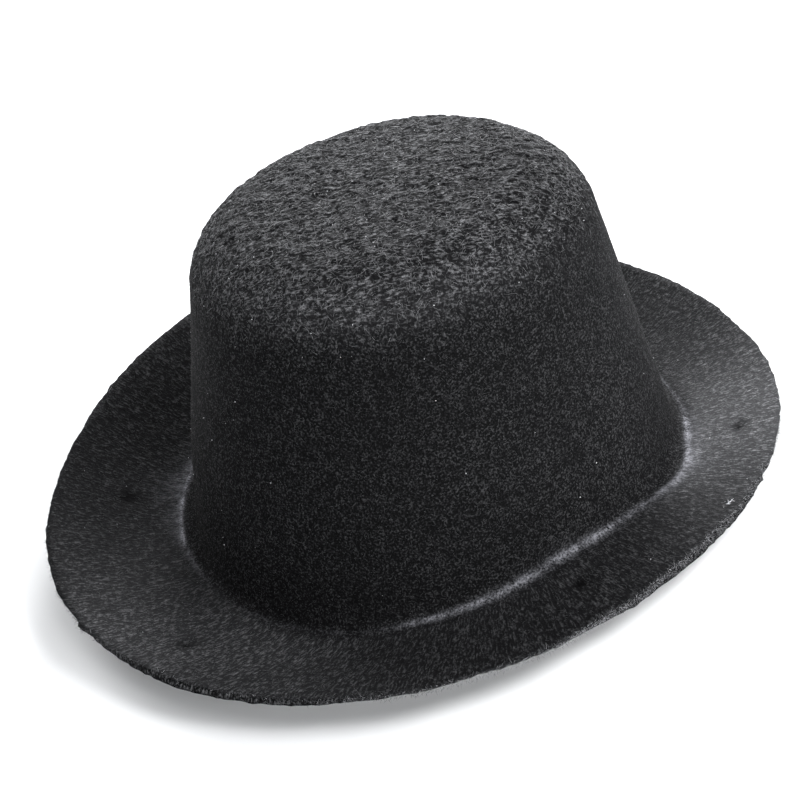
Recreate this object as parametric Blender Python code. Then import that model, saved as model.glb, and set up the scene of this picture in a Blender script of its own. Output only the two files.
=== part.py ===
"""A pressed felt top hat with its sweatband, in metres.

The origin is the middle of the brim's outline, in the plane that the hat stands on. +Z is up,
and X runs along the hat: the front is at -X and the back at +X. The felt is one sheet pressed
over a block, so the crown, the fold and the brim are one piece. The sweatband, the thread that
holds it, and the tab and bow over its joint are separate pieces inside the crown.
"""

import bmesh
import bpy
import numpy as np

# The felt's outline, seen from above.
BRIM_HALF_LENGTH = 0.155
BRIM_HALF_WIDTH = 0.1335
FOLD_HALF_LENGTH = 0.1055
FOLD_HALF_WIDTH = 0.0942
TOP_HALF_LENGTH = 0.0493
TOP_HALF_WIDTH = 0.043
CROWN_FULLNESS = 0.02  # how much fuller than an oval the crown is, between its four ends

# The felt's section, from the top of the crown out to the brim's edge.
FELT = 0.0027
CROWN_HEIGHT = 0.1317  # from the fold at the back to the middle of the top, on the outer face
TOP_EDGE_ANGLE = np.radians(86.0)  # the domed top meets the shoulder 4 degrees off level
SHOULDER_RADIUS = 0.031
FOLD_RADIUS = 0.0045
BRIM_FLAT_SHARE = 0.15  # share of the brim's width beside the fold that follows the fold's height
BRIM_CURL_POWER = 1.25

# The fold dips at the front and back, where the hat stands, and rises at the two sides.
FOLD_RISE = 0.0093
FOLD_RISE_POWER = 1.3
FOOT_SHARE = 0.12  # the fold is level where the squared sine of its angle is below this

# Heights of the brim's edge above those two feet.
EDGE_AT_FRONT = 0.0138
EDGE_AT_BACK = 0.0058
EDGE_AT_LEFT = 0.0115
EDGE_AT_RIGHT = 0.0297

# The crown stands a little off the brim's middle and leans slightly.
CROWN_SHIFT = (0.0016, -0.0059)
CROWN_LEAN = (-0.011, -0.0125)

# The sweatband and what is on it.
GAP = 0.0003
BAND_THICKNESS = 0.0012
BAND_BOTTOM = 0.008
BAND_TOP = 0.036
BAND_JOINT = 0.0015  # the space between the band's two ends, at the back
THREAD_RADIUS = 0.0003
THREAD_ABOVE_EDGE = 0.003
THREAD_STOP = 0.0012  # how far the thread stops short of the tab
TAB_WIDTH = 0.014
TAB_THICKNESS = 0.0008
TAB_MARGIN = 0.001  # how far the tab stops short of the band's long edges
BOW_LENGTH = 0.034
BOW_WING_HEIGHT = 0.011
BOW_NECK_HEIGHT = 0.004
BOW_KNOT_LENGTH = 0.006
BOW_WING_THICKNESS = 0.0016
BOW_KNOT_THICKNESS = 0.0030
BOW_KNOT_FULLNESS = 0.0015  # how much taller the knot is than the neck of a wing
BOW_SPREAD_POWER = 0.7  # how quickly a wing widens away from the knot

# How finely each stretch is divided.
AROUND = 64
TOP_STEPS = 3
SHOULDER_STEPS = 7
WALL_STEPS = 4
FOLD_STEPS = 4
BRIM_STEPS = 5
BOW_STEPS = 24
THREAD_POINTS = 96
TAB_SECTIONS = 5
SHARP_ANGLE = np.radians(40)

BLACK_FELT = ((0.012, 0.012, 0.013), 0.95)
BLACK_TAPE = ((0.020, 0.020, 0.022), 0.80)
BLACK_THREAD = ((0.016, 0.016, 0.018), 0.60)
BLACK_RIBBON = ((0.018, 0.018, 0.020), 0.45)


def wall_angle(fold, top):
    """How far the wall's outward normal points above level.

    The wall is the straight line that touches the shoulder's circle from outside and the fold's
    circle from inside, so the two centres are the two radii apart along its normal.
    """
    shoulder, centre_height = shoulder_centre(top)
    across, up = fold - shoulder, FELT + FOLD_RADIUS - centre_height
    radii = SHOULDER_RADIUS + FOLD_RADIUS
    return np.arctan2(up, across) + np.arccos(radii / np.hypot(across, up))


def shoulder_centre(top):
    """Centre of the shoulder's circle: its distance from the axis, and its height."""
    dome = 0.5 * top * np.tan(np.pi / 2 - TOP_EDGE_ANGLE)
    height = FELT + CROWN_HEIGHT - dome - SHOULDER_RADIUS * np.sin(TOP_EDGE_ANGLE)
    return top - SHOULDER_RADIUS * np.cos(TOP_EDGE_ANGLE), height


def half_section(fold, top, depth):
    """Distances from the axis and heights, from beside the middle of the top down to the fold.

    The top is a shallow parabola, the shoulder an arc, the wall a straight line and the fold a
    hollow arc. A surface that lies `depth` under the outer face has the same centres, with the
    shoulder's radius smaller and the fold's radius larger by that depth.
    """
    low = wall_angle(fold, top)
    share = np.arange(1, TOP_STEPS) / TOP_STEPS
    slope = np.tan(np.pi / 2 - TOP_EDGE_ANGLE)
    dome_r = top * share - depth * np.sin(np.arctan(slope * share))
    dome_z = FELT + CROWN_HEIGHT - 0.5 * slope * top * share**2 - depth
    centre_r, centre_z = shoulder_centre(top)
    turn = np.linspace(TOP_EDGE_ANGLE, low, SHOULDER_STEPS + 1)
    shoulder_r = centre_r + (SHOULDER_RADIUS - depth) * np.cos(turn)
    shoulder_z = centre_z + (SHOULDER_RADIUS - depth) * np.sin(turn)
    turn = np.linspace(low, np.pi / 2, FOLD_STEPS + 1)
    fold_r = fold - (FOLD_RADIUS + depth) * np.cos(turn)
    fold_z = FELT + FOLD_RADIUS - (FOLD_RADIUS + depth) * np.sin(turn)
    share = np.arange(1, WALL_STEPS) / WALL_STEPS
    wall_r = shoulder_r[-1] + (fold_r[0] - shoulder_r[-1]) * share
    wall_z = shoulder_z[-1] + (fold_z[0] - shoulder_z[-1]) * share
    distance = np.concatenate([dome_r, shoulder_r, wall_r, fold_r])
    height = np.concatenate([dome_z, shoulder_z, wall_z, fold_z])
    return distance, height


def crown_shift(height):
    """Where the crown's axis is at a height, in X and Y."""
    return [CROWN_SHIFT[i] + CROWN_LEAN[i] * (height - FELT) for i in (0, 1)]


def crown_plan(angle):
    """Directions round the crown: an oval's cosine and sine, fuller between its four ends."""
    full = 1 + CROWN_FULLNESS * np.sin(2 * angle) ** 2
    return full * np.cos(angle), full * np.sin(angle)


def fold_rise(angle):
    """How far the fold stands above the two feet: none at the feet, most at the two sides."""
    share = np.clip((np.sin(angle) ** 2 - FOOT_SHARE) / (1 - FOOT_SHARE), 0, 1)
    return FOLD_RISE * share**FOLD_RISE_POWER


def rise_left(height):
    """Share of the fold's rise that is left at a height: all at the fold, none at the shoulder."""
    reach = CROWN_HEIGHT - SHOULDER_RADIUS
    return np.clip(1 - (height - FELT) / reach, 0, 1)


def edge_height(angle):
    """Height of the brim's edge above the feet, a smooth wave through its four stated heights."""
    ends, sides = EDGE_AT_FRONT + EDGE_AT_BACK, EDGE_AT_LEFT + EDGE_AT_RIGHT
    wave = 0.25 * (ends + sides) + 0.25 * (ends - sides) * np.cos(2 * angle)
    wave = wave + 0.5 * (EDGE_AT_BACK - EDGE_AT_FRONT) * np.cos(angle)
    return wave + 0.5 * (EDGE_AT_RIGHT - EDGE_AT_LEFT) * np.sin(angle)


def crown_rings(angle, depth):
    """Rings of points on the crown, from beside the middle of its top down to the fold."""
    long_r, long_z = half_section(FOLD_HALF_LENGTH, TOP_HALF_LENGTH, depth)
    short_r, short_z = half_section(FOLD_HALF_WIDTH, TOP_HALF_WIDTH, depth)
    height = np.outer(long_z, np.cos(angle) ** 2) + np.outer(short_z, np.sin(angle) ** 2)
    along, across = crown_plan(angle)
    shift_x, shift_y = crown_shift(height)
    x = np.outer(long_r, along) + shift_x
    y = np.outer(short_r, across) + shift_y
    return np.stack([x, y, height + fold_rise(angle) * rise_left(height)], axis=2)


def brim_rings(angle, depth):
    """Rings of points on the brim, from outside its level part to its edge.

    A point lies a share of the way from the fold to the edge. It is as high as the fold over
    the first part, then climbs to the edge's height by a power of the remaining share. The
    lower face lies square under the upper one, except that the edge is cut upright.
    """
    along, across = crown_plan(angle)
    shift_x, shift_y = crown_shift(FELT)
    fold = np.stack([FOLD_HALF_LENGTH * along + shift_x, FOLD_HALF_WIDTH * across + shift_y], 1)
    edge = np.stack([BRIM_HALF_LENGTH * np.cos(angle), BRIM_HALF_WIDTH * np.sin(angle)], 1)
    start = fold_rise(angle)
    lift = edge_height(angle) - start
    width = np.linalg.norm(edge - fold, axis=1)
    rings = []
    for share in np.linspace(BRIM_FLAT_SHARE, 1.0, BRIM_STEPS + 1):
        climb = (share - BRIM_FLAT_SHARE) / (1 - BRIM_FLAT_SHARE)
        height = FELT + start + lift * climb**BRIM_CURL_POWER
        slope = BRIM_CURL_POWER * lift * climb ** (BRIM_CURL_POWER - 1)
        slope = slope / (width * (1 - BRIM_FLAT_SHARE))
        outward = ((1 - climb) * depth * slope / np.hypot(1, slope) / width)[:, None]
        flat = fold + (edge - fold) * (share + outward)
        rings.append(np.column_stack([flat, height - depth / np.hypot(1, slope)]))
    return np.array(rings)


def wall_point(angle, height, depth):
    """A point of the wall, `depth` in from the outer face. The height leaves out the fold's rise."""
    radius = []
    for fold, top in ((FOLD_HALF_LENGTH, TOP_HALF_LENGTH), (FOLD_HALF_WIDTH, TOP_HALF_WIDTH)):
        low = wall_angle(fold, top)
        centre_r, centre_z = shoulder_centre(top)
        touching = centre_r * np.cos(low) + centre_z * np.sin(low) + SHOULDER_RADIUS - depth
        radius.append((touching - height * np.sin(low)) / np.cos(low))
    along, across = crown_plan(angle)
    shift_x, shift_y = crown_shift(height)
    risen = height + fold_rise(angle) * rise_left(height)
    return (radius[0] * along + shift_x, radius[1] * across + shift_y, risen)


def back_angle(distance):
    """The angle of a place on the wall this far round from the middle of the back."""
    return distance / FOLD_HALF_WIDTH


def finish(bm, name, material):
    bmesh.ops.recalc_face_normals(bm, faces=bm.faces)
    mesh = bpy.data.meshes.new(name)
    bm.to_mesh(mesh)
    bm.free()
    mesh.shade_smooth()
    mesh.set_sharp_from_angle(angle=SHARP_ANGLE)
    piece = bpy.data.objects.new(name, mesh)
    bpy.context.scene.collection.objects.link(piece)
    mesh.materials.append(material)
    return piece


def plain_material(name, look):
    colour, roughness = look
    material = bpy.data.materials.new(name)
    material.use_nodes = True
    shader = material.node_tree.nodes["Principled BSDF"]
    shader.inputs["Base Color"].default_value = (*colour, 1.0)
    shader.inputs["Roughness"].default_value = roughness
    shader.inputs["Metallic"].default_value = 0.0
    return material


def join_rings(bm, first, second):
    for i in range(len(first)):
        after = (i + 1) % len(first)
        bm.faces.new((first[i], first[after], second[after], second[i]))


def add_ring(bm, points):
    return [bm.verts.new(tuple(map(float, point))) for point in points]


def felt_body():
    """One closed skin: the outer face from the top's middle to the edge, then the inner face back."""
    angle = np.linspace(0, 2 * np.pi, AROUND, endpoint=False)
    outer = np.concatenate([crown_rings(angle, 0.0), brim_rings(angle, 0.0)])
    inner = np.concatenate([crown_rings(angle, FELT), brim_rings(angle, FELT)])
    bm = bmesh.new()
    rings = [add_ring(bm, points) for points in (*outer, *inner[::-1])]
    for first, second in zip(rings, rings[1:]):
        join_rings(bm, first, second)
    for ring, height in ((rings[0], FELT + CROWN_HEIGHT), (rings[-1], CROWN_HEIGHT)):
        middle = bm.verts.new((*crown_shift(height), height))
        for i in range(AROUND):
            bm.faces.new((ring[i], ring[(i + 1) % AROUND], middle))
    return finish(bm, "felt_body", plain_material("black_felt", BLACK_FELT))


def strip(name, sections, material):
    """A solid strip along the wall. A section is angle, low, high, and its two depths."""
    bm = bmesh.new()
    rings = []
    for angle, low, high, near, far in sections:
        corners = ((low, near), (high, near), (high, far), (low, far))
        points = [wall_point(angle, height, depth) for height, depth in corners]
        rings.append(add_ring(bm, points))
    for first, second in zip(rings, rings[1:]):
        join_rings(bm, first, second)
    bm.faces.new(rings[0])
    bm.faces.new(rings[-1])
    return finish(bm, name, material)


def sweatband():
    """A tape standing on edge round the inside of the crown, open at its joint."""
    near, far = FELT + GAP, FELT + GAP + BAND_THICKNESS
    start = back_angle(BAND_JOINT / 2)
    angles = np.linspace(start, 2 * np.pi - start, AROUND + 1)
    sections = [(angle, BAND_BOTTOM, BAND_TOP, near, far) for angle in angles]
    return strip("sweatband", sections, plain_material("black_tape", BLACK_TAPE))


def sweatband_thread():
    """The seam's thread, a thin round run along the band's lower edge on its inner face."""
    height = BAND_BOTTOM + THREAD_ABOVE_EDGE
    depth = FELT + GAP + BAND_THICKNESS + GAP + THREAD_RADIUS
    start = back_angle(TAB_WIDTH / 2 + THREAD_STOP)
    curve = bpy.data.curves.new("sweatband_thread", "CURVE")
    curve.dimensions = "3D"
    curve.bevel_depth = THREAD_RADIUS
    curve.bevel_resolution = 1
    curve.use_fill_caps = True
    spline = curve.splines.new("POLY")
    spline.points.add(THREAD_POINTS - 1)
    for point, angle in zip(spline.points, np.linspace(start, 2 * np.pi - start, THREAD_POINTS)):
        point.co = (*wall_point(angle, height, depth), 1.0)
    curve.materials.append(plain_material("black_thread", BLACK_THREAD))
    piece = bpy.data.objects.new("sweatband_thread", curve)
    bpy.context.scene.collection.objects.link(piece)
    return piece


def joint_tab():
    """A short piece of tape over the band's joint."""
    near = FELT + GAP + BAND_THICKNESS + GAP
    far = near + TAB_THICKNESS
    low, high = BAND_BOTTOM + TAB_MARGIN, BAND_TOP - TAB_MARGIN
    reach = back_angle(TAB_WIDTH / 2)
    sections = [(angle, low, high, near, far) for angle in np.linspace(-reach, reach, TAB_SECTIONS)]
    return strip("joint_tab", sections, plain_material("black_tab", BLACK_TAPE))


def back_bow():
    """A small flat bow on the tab: a knot between two wings that widen away from it."""
    near = FELT + GAP + BAND_THICKNESS + GAP + TAB_THICKNESS + GAP
    middle = 0.5 * (BAND_BOTTOM + BAND_TOP)
    half, knot = BOW_LENGTH / 2, BOW_KNOT_LENGTH / 2
    places = np.linspace(-half, half, BOW_STEPS + 1)
    out = np.clip((np.abs(places) - knot) / (half - knot), 0, 1)
    in_knot = np.abs(places) < knot
    height = np.where(in_knot, BOW_NECK_HEIGHT + BOW_KNOT_FULLNESS, BOW_NECK_HEIGHT)
    height = height + (BOW_WING_HEIGHT - BOW_NECK_HEIGHT) * out**BOW_SPREAD_POWER
    thick = np.where(in_knot, BOW_KNOT_THICKNESS, BOW_WING_THICKNESS)
    sections = [
        (back_angle(place), middle - h / 2, middle + h / 2, near, near + t)
        for place, h, t in zip(places, height, thick)
    ]
    return strip("back_bow", sections, plain_material("black_ribbon", BLACK_RIBBON))


for leftover in list(bpy.data.objects):
    bpy.data.objects.remove(leftover)

felt_body()
sweatband()
sweatband_thread()
joint_tab()
back_bow()
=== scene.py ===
"""The looks of a pressed felt top hat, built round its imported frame. Everything is in metres.

The hat's front is -X, its back is +X and the wearer's left is -Y. Degrees round the hat start at the
back and go through the wearer's right, at 90, to the front, at 180, and the left, at 270.
"""

import bmesh
import bpy
import numpy as np
from mathutils import Matrix, Vector


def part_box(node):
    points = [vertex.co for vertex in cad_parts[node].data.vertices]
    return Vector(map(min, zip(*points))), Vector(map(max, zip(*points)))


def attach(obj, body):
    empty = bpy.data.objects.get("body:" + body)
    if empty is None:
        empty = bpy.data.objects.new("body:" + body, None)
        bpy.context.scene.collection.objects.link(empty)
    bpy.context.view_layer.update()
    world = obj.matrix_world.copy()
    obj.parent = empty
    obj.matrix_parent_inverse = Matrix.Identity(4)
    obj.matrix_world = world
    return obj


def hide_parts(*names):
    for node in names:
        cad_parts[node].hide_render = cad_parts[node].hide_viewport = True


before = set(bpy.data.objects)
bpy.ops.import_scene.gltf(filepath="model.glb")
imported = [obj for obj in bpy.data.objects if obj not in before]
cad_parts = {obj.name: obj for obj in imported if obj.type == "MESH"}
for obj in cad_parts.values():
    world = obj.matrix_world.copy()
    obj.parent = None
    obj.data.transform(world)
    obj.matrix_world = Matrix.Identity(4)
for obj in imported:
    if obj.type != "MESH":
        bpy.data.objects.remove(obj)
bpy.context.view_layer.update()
FELT_LOW, FELT_HIGH = (np.array(corner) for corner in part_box("felt_body"))

# The felt's plan and section follow from the brim's half length and the hat's height.
BRIM_HALF_LENGTH, BRIM_HALF_WIDTH = 0.5 * (FELT_HIGH - FELT_LOW)[:2]
UNIT = BRIM_HALF_LENGTH / 0.155
FELT = 0.0027 * UNIT  # how thick the felt is
CROWN_HEIGHT = FELT_HIGH[2] - FELT
FOLD_HALF = np.array([0.1055, 0.0942]) * UNIT  # half length and half width of the fold's oval
TOP_HALF = np.array([0.0493, 0.043]) * UNIT  # the same for the flat top, inside its shoulder
CROWN_FULLNESS = 0.02
TOP_EDGE_ANGLE = np.radians(86.0)
SHOULDER_RADIUS = 0.031 * UNIT
FOLD_RADIUS = 0.0045 * UNIT
BRIM_FLAT_SHARE = 0.15
BRIM_CURL_POWER = 1.25
FOLD_RISE = 0.0093 * UNIT
FOLD_RISE_POWER = 1.3
FOOT_SHARE = 0.12
EDGE_FRONT, EDGE_BACK, EDGE_LEFT, EDGE_RIGHT = np.array([0.0138, 0.0058, 0.0115, 0.0297]) * UNIT
CROWN_SHIFT = np.array([0.0016, -0.0059]) * UNIT
CROWN_LEAN = (-0.011, -0.0125)
GAP = 0.0003  # between one piece and the next


# ---------------------------------------------------------------- noise and bells


CELL_PRIMES = (73856093, 19349663, 83492791)
SEED_PRIME = 2654435761
SCRAMBLES = ((16, 2246822519), (13, 3266489917))


def unit(vectors):
    """The vectors divided by their lengths."""
    return vectors / np.maximum(np.linalg.norm(vectors, axis=-1, keepdims=True), 1e-9)


def lattice_value(cell, seed):
    """A steady random number from -1 to 1 for each cell: its three counts times primes, scrambled."""
    x, y, z = (cell[..., i].astype(np.int64).astype(np.uint32) * np.uint32(CELL_PRIMES[i]) for i in range(3))
    mixed = x ^ y ^ z ^ np.uint32(seed * SEED_PRIME % 2**32)
    for shift, prime in SCRAMBLES:
        mixed = (mixed ^ (mixed >> np.uint32(shift))) * np.uint32(prime)
    mixed = mixed ^ (mixed >> np.uint32(16))
    return mixed.astype(np.float64) / 2**31 - 1


def noise(points, size, seed):
    """Smooth noise from about -1 to 1: cell corners' random values, blended by a quintic."""
    scaled = np.asarray(points) / size
    cell = np.floor(scaled)
    part = scaled - cell
    blend = part**3 * (part * (part * 6 - 15) + 10)
    total = 0.0
    for corner in np.ndindex(2, 2, 2):
        weight = np.prod(np.where(corner, blend, 1 - blend), axis=-1)
        total = total + weight * lattice_value(cell + corner, seed)
    return total


def layered_noise(points, size, seed, layers):
    """Noise with finer and weaker layers on top, each half the size and half as strong."""
    parts = [noise(points, size / 2**i, seed + i) / 2**i for i in range(layers)]
    return sum(parts) / (2 - 2 ** (1 - layers))


def hump(value, centre, width):
    """A smooth bell, 1 at its centre and near 0 two widths away."""
    return np.exp(-(((value - centre) / width) ** 2))


def angle_hump(angle, centre, width):
    """A bell round the hat that closes on itself. Its centre and width are in degrees."""
    away = (np.degrees(angle) - centre + 180) % 360 - 180
    return hump(away, 0, width)


def profile_round(angle, base, bells):
    """A base value plus bells round the hat, each a centre and a width in degrees and a height."""
    for centre, width, height in bells:
        base = base + height * angle_hump(angle, centre, width)
    return base


def ease(value, low, high):
    """0 below low, 1 above high, and a smooth step between."""
    share = np.clip((value - low) / (high - low), 0, 1)
    return share * share * (3 - 2 * share)


# ---------------------------------------------------------------- the felt's smooth shape


def shoulder_centre(top):
    """Centre of the shoulder's circle: distance from the axis, and height."""
    dome = 0.5 * top * np.tan(np.pi / 2 - TOP_EDGE_ANGLE)
    height = FELT + CROWN_HEIGHT - dome - SHOULDER_RADIUS * np.sin(TOP_EDGE_ANGLE)
    return top - SHOULDER_RADIUS * np.cos(TOP_EDGE_ANGLE), height


def wall_angle(fold, top):
    """Tilt of the wall's normal: the wall touches the shoulder's and the fold's circles."""
    centre_r, centre_z = shoulder_centre(top)
    across = fold - centre_r
    up = FELT + FOLD_RADIUS - centre_z
    return np.arctan2(up, across) + np.arccos((SHOULDER_RADIUS + FOLD_RADIUS) / np.hypot(across, up))


def half_section(fold, top, depth, steps):
    """Distance and height along the crown's section, from the top's middle to the fold.

    A shallow parabola, the shoulder's arc, the straight wall and the fold's hollow arc, all
    `depth` under the outer face. `steps` is the number of steps on each of the four.
    """
    top_steps, shoulder_steps, wall_steps, fold_steps = steps
    low = wall_angle(fold, top)
    slope = np.tan(np.pi / 2 - TOP_EDGE_ANGLE)
    share = np.arange(1, top_steps) / top_steps
    dome_r = top * share - depth * np.sin(np.arctan(slope * share))
    dome_z = FELT + CROWN_HEIGHT - 0.5 * slope * top * share**2 - depth
    centre_r, centre_z = shoulder_centre(top)
    turn = np.linspace(TOP_EDGE_ANGLE, low, shoulder_steps + 1)
    arc_r = centre_r + (SHOULDER_RADIUS - depth) * np.cos(turn)
    arc_z = centre_z + (SHOULDER_RADIUS - depth) * np.sin(turn)
    turn = np.linspace(low, np.pi / 2, fold_steps + 1)
    fold_r = fold - (FOLD_RADIUS + depth) * np.cos(turn)
    fold_z = FELT + FOLD_RADIUS - (FOLD_RADIUS + depth) * np.sin(turn)
    share = np.arange(1, wall_steps) / wall_steps
    wall_r = arc_r[-1] + (fold_r[0] - arc_r[-1]) * share
    wall_z = arc_z[-1] + (fold_z[0] - arc_z[-1]) * share
    distance = np.concatenate([dome_r, arc_r, wall_r, fold_r])
    return distance, np.concatenate([dome_z, arc_z, wall_z, fold_z])


def crown_shift(height):
    """The crown's axis at a height, in X and Y: its place at the fold plus its lean times the height."""
    return [CROWN_SHIFT[i] + CROWN_LEAN[i] * (height - FELT) for i in (0, 1)]


def crown_plan(angle):
    """An oval's cosine and sine, fuller between its four ends by the squared sine of twice the angle."""
    full = 1 + CROWN_FULLNESS * np.sin(2 * angle) ** 2
    return full * np.cos(angle), full * np.sin(angle)


def fold_rise(angle):
    """How far the fold stands above the two feet: a power of the squared sine, flat at the feet."""
    share = np.clip((np.sin(angle) ** 2 - FOOT_SHARE) / (1 - FOOT_SHARE), 0, 1)
    return FOLD_RISE * share**FOLD_RISE_POWER


def rise_left(height):
    """Share of the fold's rise that is left at a height."""
    return np.clip(1 - (height - FELT) / (CROWN_HEIGHT - SHOULDER_RADIUS), 0, 1)


def edge_height(angle):
    """Height of the brim's edge: a wave through its heights at the front, back, left and right."""
    ends = EDGE_FRONT + EDGE_BACK
    sides = EDGE_LEFT + EDGE_RIGHT
    wave = 0.25 * (ends + sides) + 0.25 * (ends - sides) * np.cos(2 * angle)
    wave = wave + 0.5 * (EDGE_BACK - EDGE_FRONT) * np.cos(angle)
    return wave + 0.5 * (EDGE_RIGHT - EDGE_LEFT) * np.sin(angle)


def crown_rings(angle, depth, steps):
    """The crown's face, a row for each station of the section and a column for each angle.

    The long and the short section's heights are mixed by the squared cosine and sine.
    """
    long_r, long_z = half_section(FOLD_HALF[0], TOP_HALF[0], depth, steps)
    short_r, short_z = half_section(FOLD_HALF[1], TOP_HALF[1], depth, steps)
    height = np.outer(long_z, np.cos(angle) ** 2) + np.outer(short_z, np.sin(angle) ** 2)
    along, across = crown_plan(angle)
    shift_x, shift_y = crown_shift(height)
    x = np.outer(long_r, along) + shift_x
    y = np.outer(short_r, across) + shift_y
    return np.stack([x, y, height + fold_rise(angle) * rise_left(height)], axis=2)


def brim_rings(angle, depth, shares):
    """The brim's face: level with the fold at first, then climbing to the edge by a power."""
    along, across = crown_plan(angle)
    shift_x, shift_y = crown_shift(FELT)
    fold = np.stack([FOLD_HALF[0] * along + shift_x, FOLD_HALF[1] * across + shift_y], 1)
    edge = np.stack([BRIM_HALF_LENGTH * np.cos(angle), BRIM_HALF_WIDTH * np.sin(angle)], 1)
    start = fold_rise(angle)
    lift = edge_height(angle) - start
    width = np.linalg.norm(edge - fold, axis=1)
    climb = np.clip((shares - BRIM_FLAT_SHARE) / (1 - BRIM_FLAT_SHARE), 0, None)[:, None]
    height = FELT + start + lift * climb**BRIM_CURL_POWER
    slope = BRIM_CURL_POWER * lift * climb ** (BRIM_CURL_POWER - 1) * (climb > 0)
    slope = slope / (width * (1 - BRIM_FLAT_SHARE))
    outward = (1 - climb) * depth * slope / np.hypot(1, slope) / width
    flat = fold + (edge - fold) * (shares[:, None] + outward)[..., None]
    return np.concatenate([flat, (height - depth / np.hypot(1, slope))[..., None]], axis=2)


def wall_place(angle, height, depth):
    """A point on the wall, `depth` in from the outer face. The height leaves out the fold's rise."""
    radius = []
    for fold, top in zip(FOLD_HALF, TOP_HALF):
        low = wall_angle(fold, top)
        centre_r, centre_z = shoulder_centre(top)
        touching = centre_r * np.cos(low) + centre_z * np.sin(low) + SHOULDER_RADIUS - depth
        radius.append((touching - height * np.sin(low)) / np.cos(low))
    along, across = crown_plan(angle)
    shift_x, shift_y = crown_shift(height)
    x = radius[0] * along + shift_x
    y = radius[1] * across + shift_y
    risen = height + fold_rise(angle) * rise_left(height)
    return np.stack(np.broadcast_arrays(x, y, risen), -1)


def normals_round(grid):
    """Outward normals of a closed-round grid, rows from the top's middle outward."""
    around = np.roll(grid, -1, axis=1) - np.roll(grid, 1, axis=1)
    normal = np.cross(np.gradient(grid, axis=0), around)
    return normal / np.linalg.norm(normal, axis=2, keepdims=True)


def normals_open(grid):
    """Normals of a grid that doesn't close on itself."""
    return unit(np.cross(np.gradient(grid, axis=0), np.gradient(grid, axis=1)))


# ---------------------------------------------------------------- meshes


def surface_piece(name, points, faces, material):
    """A smooth mesh object at the origin, unturned and unscaled, from its points and faces."""
    mesh = bpy.data.meshes.new(name)
    mesh.from_pydata(points, [], faces)
    mesh.validate()
    mesh.update()
    mesh.shade_smooth()
    piece = bpy.data.objects.new(name, mesh)
    bpy.context.scene.collection.objects.link(piece)
    mesh.materials.append(material)
    return piece


def add_attribute(piece, name, values):
    """Stores one number, or one vector, for each vertex."""
    single = values.ndim == 1
    layer = piece.data.attributes.new(name, "FLOAT" if single else "FLOAT_VECTOR", "POINT")
    layer.data.foreach_set("value" if single else "vector", values.astype(np.float32).ravel())


def grid_faces(rows, columns, closed=True):
    """Four-sided faces of a grid of vertices. A closed grid's last column is joined to its first."""
    spans = columns if closed else columns - 1
    row, column = np.meshgrid(np.arange(rows - 1), np.arange(spans), indexing="ij")
    after = (column + 1) % columns
    near = row * columns
    far = near + columns
    return np.stack([near + column, far + column, far + after, near + after], -1).reshape(-1, 4)


def face_outward(piece):
    """Turns every face of a closed piece outward."""
    shape = bmesh.new()
    shape.from_mesh(piece.data)
    bmesh.ops.recalc_face_normals(shape, faces=shape.faces)
    shape.to_mesh(piece.data)
    shape.free()
    return piece


def closed_sheet(name, near, far, material):
    """A closed sheet from its two faces, each a grid of points, with their rims joined.

    Each point's share of the way along and up is stored as its weave.
    """
    rows, columns = near.shape[:2]
    count = rows * columns
    index = np.arange(count).reshape(rows, columns)
    rim = np.concatenate([index[0], index[1:, -1], index[-1, -2::-1], index[-2:0:-1, 0]])
    after = np.roll(rim, -1)
    face = grid_faces(rows, columns, closed=False)
    side = np.stack([rim, after, after + count, rim + count], 1)
    faces = np.concatenate([face, face[:, ::-1] + count, side]).tolist()
    points = np.concatenate([near.reshape(-1, 3), far.reshape(-1, 3)])
    piece = face_outward(surface_piece(name, points, faces, material))
    along, up = np.meshgrid(np.linspace(0, 1, columns), np.linspace(0, 1, rows))
    flat = np.stack([along, up, 0 * up], -1).reshape(-1, 3)
    add_attribute(piece, "weave", np.concatenate([flat, flat]))
    return piece


# ---------------------------------------------------------------- the pressed felt


# How finely each face is divided: round the hat, then down the top, shoulder, wall and fold.
COLUMNS = 640
OUTER_STEPS = (38, 36, 22, 8)
BRIM_ROWS = 24
BRIM_ROW_POWER = 1.4
INNER_STEPS = (4, 5, 6, 4)
INNER_BRIM_ROWS = 6
EDGE_ROWS = 3

# The nap lies in one direction on the top, where its tufts are long.
NAP_TURN = np.radians(-32.0)
NAP_STRETCH = 2.0
NAP_WARP, NAP_WARP_SIZE = 0.0013, 0.006
TOP_START, TOP_FULL = 0.77 * FELT_HIGH[2], 0.94 * FELT_HIGH[2]

# Sizes of the relief's lumps, and how far each stands proud, on all the felt and more on the top.
CRUMPLE_SIZE, TUFT_SIZE, MOTTLE_SIZE, DENT_SIZE = 0.0030, 0.0018, 0.0023, 0.045
CRUMPLE, TOP_CRUMPLE = 0.00010, 0.00055
MOTTLE, TOP_MOTTLE = 0.00008, 0.00010
DENT, RIDGE, DIMPLE = 0.0008, 0.00050, 0.0010
FOOT_KEPT_FLAT = 0.9

# Dimples on the brim: degrees round the hat, and a share of the way from fold to edge.
DIMPLES = ((142.9, 0.47), (313.3, 0.57), (262.1, 0.34), (190.7, 0.57), (38, 0.50), (95, 0.45))
DIMPLE_DEGREES, DIMPLE_SHARE = 1.6, 0.075

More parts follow.
